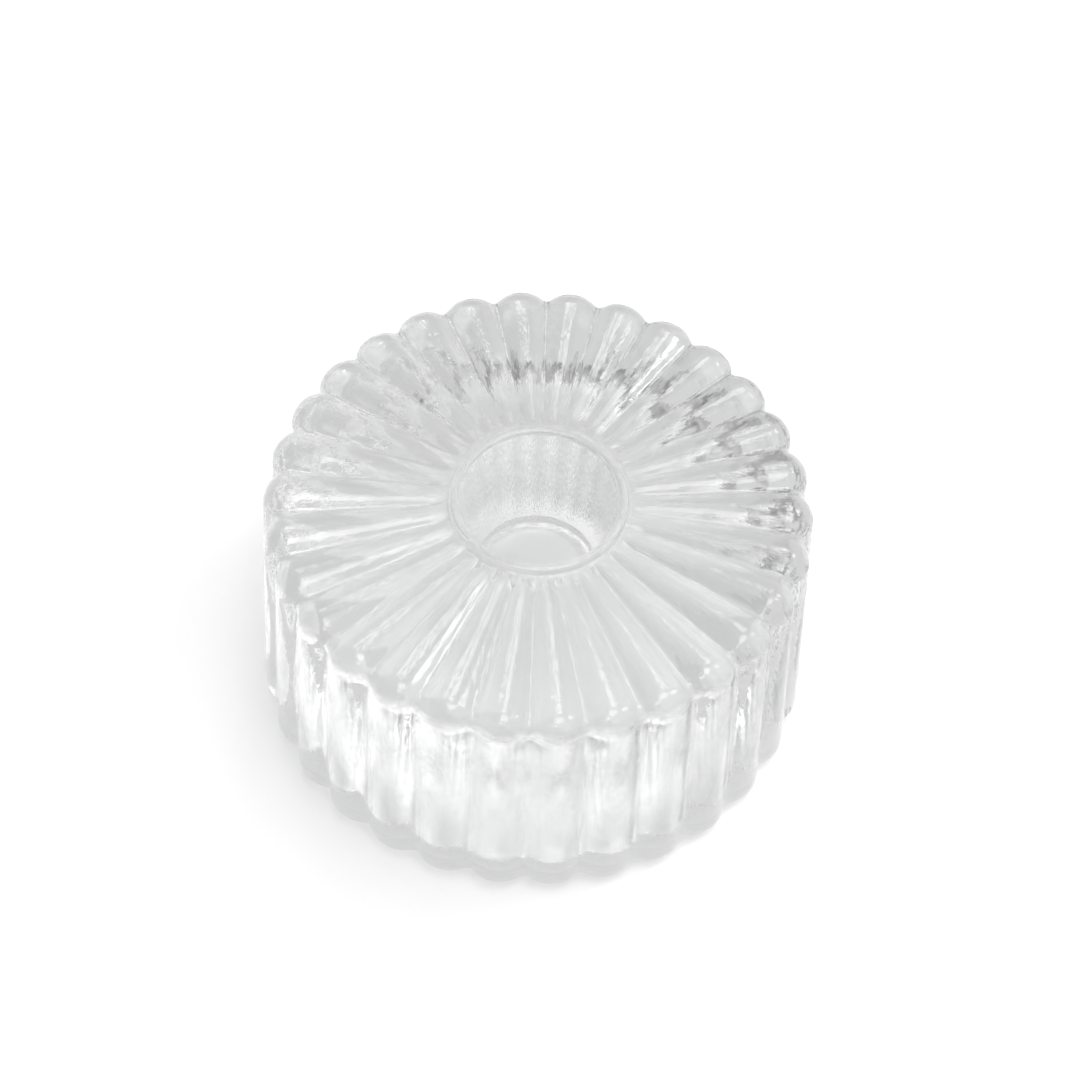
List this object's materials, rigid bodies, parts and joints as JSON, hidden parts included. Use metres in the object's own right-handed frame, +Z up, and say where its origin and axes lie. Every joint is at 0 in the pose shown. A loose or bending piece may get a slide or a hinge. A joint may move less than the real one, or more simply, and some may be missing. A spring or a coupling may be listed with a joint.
{
  "type": "dappen dish",
  "caption": "Heavy round pressed-glass dappen dish with ribbed sides, radiating petals on top and a small collared central well.",
  "frame": {"origin": "centre of the flat ring that the dish stands on", "axes": "+Z up along the dish's axis, out of the well; +X through the crest of one rib"},
  "size_m": [0.06, 0.0596, 0.0312],
  "materials": {
    "clear_glass": "fire-polished, clear, faintly rippled by the mould"
  },
  "bodies": {
    "root": {"glass_dish": "clear_glass"}
  },
  "joints": []
}
